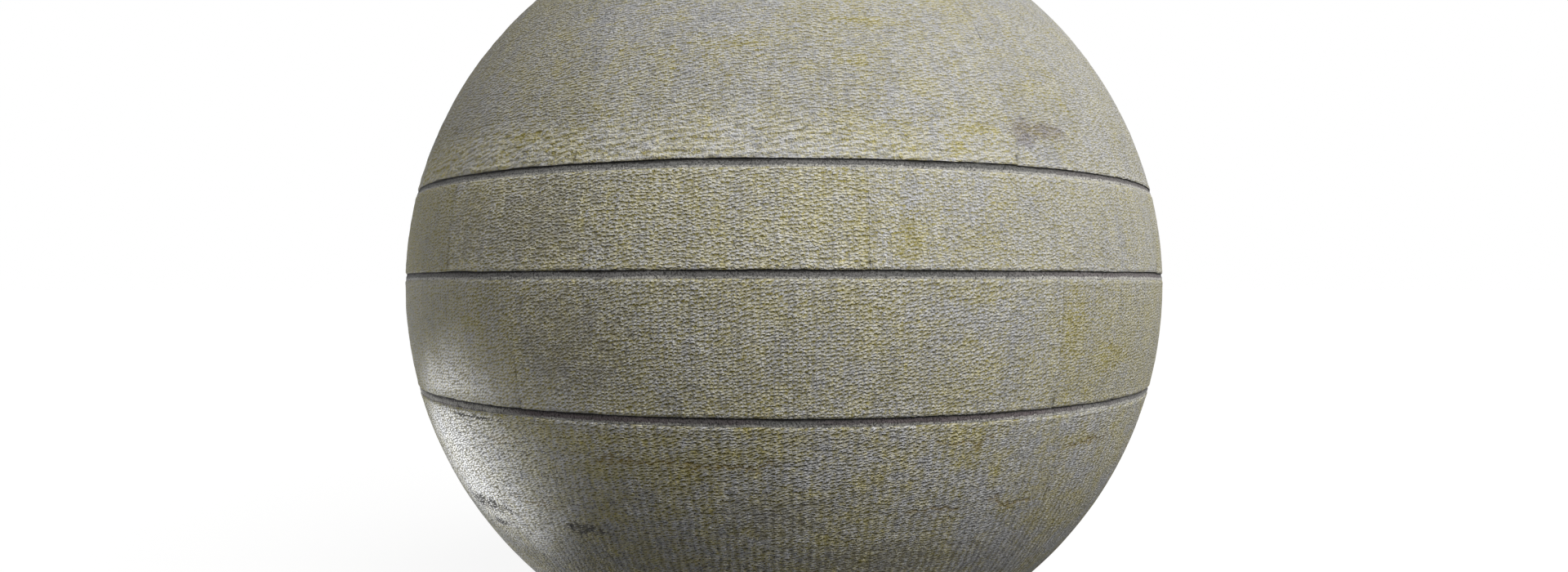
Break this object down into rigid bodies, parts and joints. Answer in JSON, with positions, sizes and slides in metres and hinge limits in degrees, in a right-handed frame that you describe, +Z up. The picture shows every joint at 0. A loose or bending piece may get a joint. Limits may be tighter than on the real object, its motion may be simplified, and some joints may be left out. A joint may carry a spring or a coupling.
{
  "type": "medicine ball",
  "caption": "Heavy hollow exercise ball with a tooled, stone-coloured panelled cover in courses, sunk dark seams and a pull-out valve plug.",
  "frame": {"origin": "centre of the ball", "axes": "+Z up through the valve, -Y towards the side that the picture shows, +X to that side's right"},
  "size_m": [0.28, 0.28, 0.28],
  "materials": {
    "cover": "matte",
    "seam_strip": "matte",
    "carcass": "matte",
    "winding": "matte",
    "bladder": "satin",
    "valve": "matte",
    "plug": "matte"
  },
  "bodies": {
    "ball": {"crown_panel_1": "cover", "crown_panel_2": "cover", "crown_panel_3": "cover", "crown_panel_4": "cover", "crown_panel_5": "cover", "crown_panel_6": "cover", "crown_panel_7": "cover", "upper_band_panel_1": "cover", "upper_band_panel_2": "cover", "upper_band_panel_3": "cover", "upper_band_panel_4": "cover", "upper_band_panel_5": "cover", "upper_band_panel_6": "cover", "upper_band_panel_7": "cover", "lower_band_panel_1": "cover", "lower_band_panel_2": "cover", "lower_band_panel_3": "cover", "lower_band_panel_4": "cover", "lower_band_panel_5": "cover", "base_panel_1": "cover", "base_panel_2": "cover", "base_panel_3": "cover", "base_panel_4": "cover", "base_panel_5": "cover", "crown_cap": "cover", "base_cap": "cover", "upper_seam_strip": "seam_strip", "middle_seam_strip": "seam_strip", "lower_seam_strip": "seam_strip", "upper_carcass": "carcass", "lower_carcass": "carcass", "nylon_winding": "winding", "bladder": "bladder", "valve_housing": "valve"},
    "valve_plug": {"valve_plug": "plug"}
  },
  "joints": [
    {"name": "valve_plug_pull", "type": "slide", "parent": "ball", "child": "valve_plug", "axis": [0, 0, 1], "range_m": [0, 0.03]}
  ]
}
